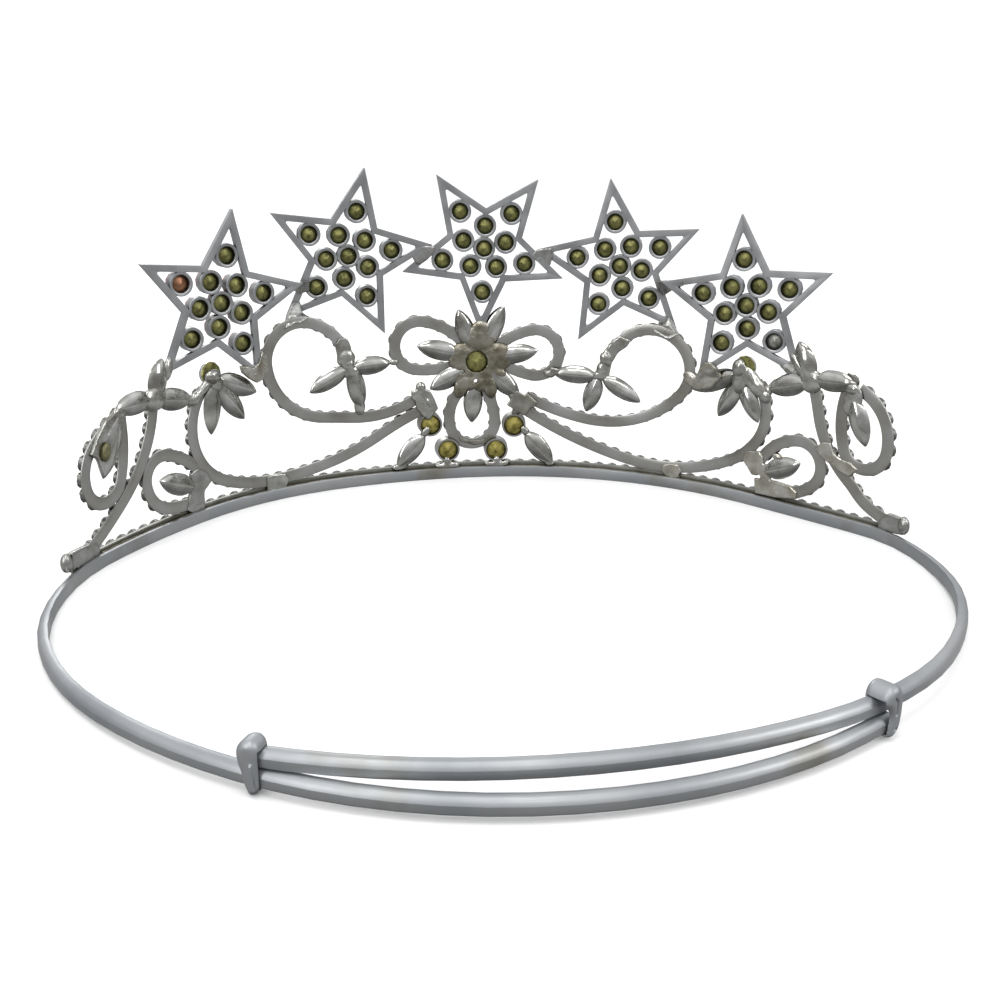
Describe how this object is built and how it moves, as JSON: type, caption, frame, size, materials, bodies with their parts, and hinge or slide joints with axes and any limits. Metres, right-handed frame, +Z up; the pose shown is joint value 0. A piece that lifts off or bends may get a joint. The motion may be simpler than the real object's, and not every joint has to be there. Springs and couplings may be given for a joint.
{
  "type": "star crown",
  "caption": "Open tiara of five gem-set star plates over scrolls of cup chain and leaf castings, on a springy head band whose ends overlap in two sliding collars.",
  "frame": {"origin": "centre of the crown's plan outline, on the surface that it stands on", "axes": "+X towards the wearer's left, -Y towards the front where the stars stand, +Z up"},
  "size_m": [0.1496, 0.1324, 0.065],
  "materials": {
    "band_metal": "rhodium-grey plated strip, lightly polished, with fine drawing marks along it",
    "strip_metal": "satin white metal, slightly darkened by soldering",
    "star_metal": "satin white metal with a fine cast grain",
    "leaf_metal": "bright cast white metal with a warm solder stain in the hollows"
  },
  "bodies": {
    "root": {"band": "band_metal", "base_stone_strip": "strip_metal", "centre_flower": "leaf_metal", "left_collar": "band_metal", "left_end_spray": "leaf_metal", "left_end_strip": "strip_metal", "left_flower_loop": "strip_metal", "left_foot_leaf": "leaf_metal", "left_inner_round_cup": "strip_metal", "left_lower_scroll": "strip_metal", "left_outer_round_cup": "strip_metal", "left_ring": "strip_metal", "left_ring_leaf": "leaf_metal", "left_scroll_spray": "leaf_metal", "left_side_spray": "leaf_metal", "left_teardrop": "strip_metal", "left_teardrop_leaf": "leaf_metal", "left_upper_scroll": "strip_metal", "lower_flower_loop": "strip_metal", "right_collar": "band_metal", "right_end_spray": "leaf_metal", "right_end_strip": "strip_metal", "right_flower_loop": "strip_metal", "right_foot_leaf": "leaf_metal", "right_inner_round_cup": "strip_metal", "right_lower_scroll": "strip_metal", "right_outer_round_cup": "strip_metal", "right_ring": "strip_metal", "right_ring_leaf": "leaf_metal", "right_scroll_spray": "leaf_metal", "right_side_spray": "leaf_metal", "right_teardrop": "strip_metal", "right_teardrop_leaf": "leaf_metal", "right_upper_scroll": "strip_metal", "star_blue": "star_metal", "star_green": "star_metal", "star_red": "star_metal", "star_white": "star_metal", "star_yellow": "star_metal"}
  },
  "joints": []
}
